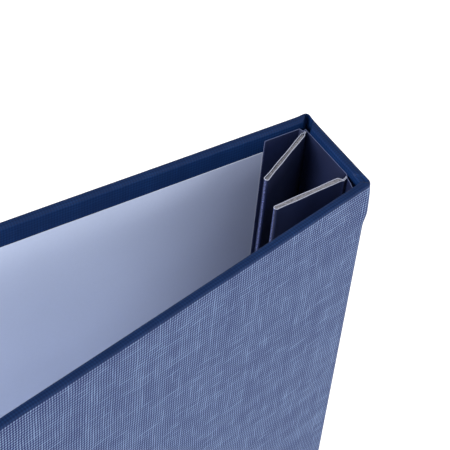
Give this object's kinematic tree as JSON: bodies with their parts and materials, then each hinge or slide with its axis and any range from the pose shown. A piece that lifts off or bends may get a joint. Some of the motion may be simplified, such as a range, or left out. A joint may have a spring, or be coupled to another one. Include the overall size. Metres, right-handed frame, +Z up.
{
  "type": "archival box",
  "caption": "Upright book-form archival case in linen-textured cloth, with hard covers on cloth joints, a flat spine and hinged stub flaps inside its corners.",
  "frame": {"origin": "centre of the spine's foot, on the surface that the case stands on", "axes": "+Z up from tail to head, +X out of the spine away from the covers, +Y towards the back cover's outer face"},
  "size_m": [0.24, 0.0916, 0.32],
  "materials": {
    "bookcloth": "linen-textured blue bookcloth, smoother and darker on the rims and turn-ins",
    "binders_board": "grey binder's board",
    "lining_paper": "matt light blue lining paper",
    "dark_sheet": "matt dark blue sheet with white cut edges",
    "stub_board": "thin grey board"
  },
  "bodies": {
    "spine": {"spine_board": "binders_board", "spine_cloth": "bookcloth", "spine_lining": "dark_sheet"},
    "back_cover": {"back_cover_board": "binders_board", "back_cover_cloth": "bookcloth", "back_cover_lining": "lining_paper", "back_hinge_strip": "dark_sheet"},
    "front_cover": {"front_cover_board": "binders_board", "front_cover_cloth": "bookcloth", "front_cover_lining": "lining_paper", "front_hinge_strip": "dark_sheet"},
    "back_stub": {"back_stub_board": "stub_board", "back_stub_wrap": "dark_sheet"},
    "front_stub": {"front_stub_board": "stub_board", "front_stub_wrap": "dark_sheet"}
  },
  "joints": [
    {"name": "front_cover_hinge", "type": "hinge", "parent": "spine", "child": "front_cover", "pos_m": [0.0006, -0.01895, 0.16], "axis": [0, 0, 1], "range_deg": [-12.5, 77.5]},
    {"name": "back_cover_hinge", "type": "hinge", "parent": "spine", "child": "back_cover", "pos_m": [0.0006, 0.01895, 0.16], "axis": [0, 0, -1], "range_deg": [0, 90]},
    {"name": "front_stub_hinge", "type": "hinge", "parent": "spine", "child": "front_stub", "pos_m": [-0.0023, -0.01065, 0.16], "axis": [0, 0, -1], "range_deg": [-5.2, 11.4]},
    {"name": "back_stub_hinge", "type": "hinge", "parent": "spine", "child": "back_stub", "pos_m": [-0.0023, 0.01445, 0.16], "axis": [0, 0, 1], "range_deg": [-30.5, 15.8]}
  ]
}
